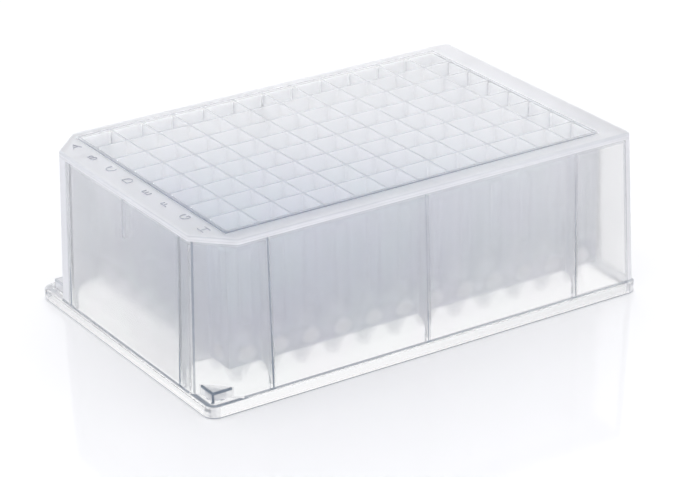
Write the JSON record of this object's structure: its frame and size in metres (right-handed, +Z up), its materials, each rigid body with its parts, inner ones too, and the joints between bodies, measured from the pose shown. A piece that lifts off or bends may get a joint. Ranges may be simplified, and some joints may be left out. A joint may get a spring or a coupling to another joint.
{
  "type": "well plate",
  "caption": "Deep well plate moulded as a single piece: square wells with pointed floors in a block inside a tapered skirt, on a flange, with cut-off corners at one end.",
  "frame": {"origin": "centre of the flange's underside, on the surface that the plate stands on", "axes": "+Z up, out of the wells; +X along the long side, from column 1 to column 12; +Y towards row A"},
  "size_m": [0.1278, 0.0854, 0.044],
  "materials": {
    "plate": "translucent natural polypropylene, smooth"
  },
  "bodies": {
    "root": {"well_plate": "plate"}
  },
  "joints": []
}
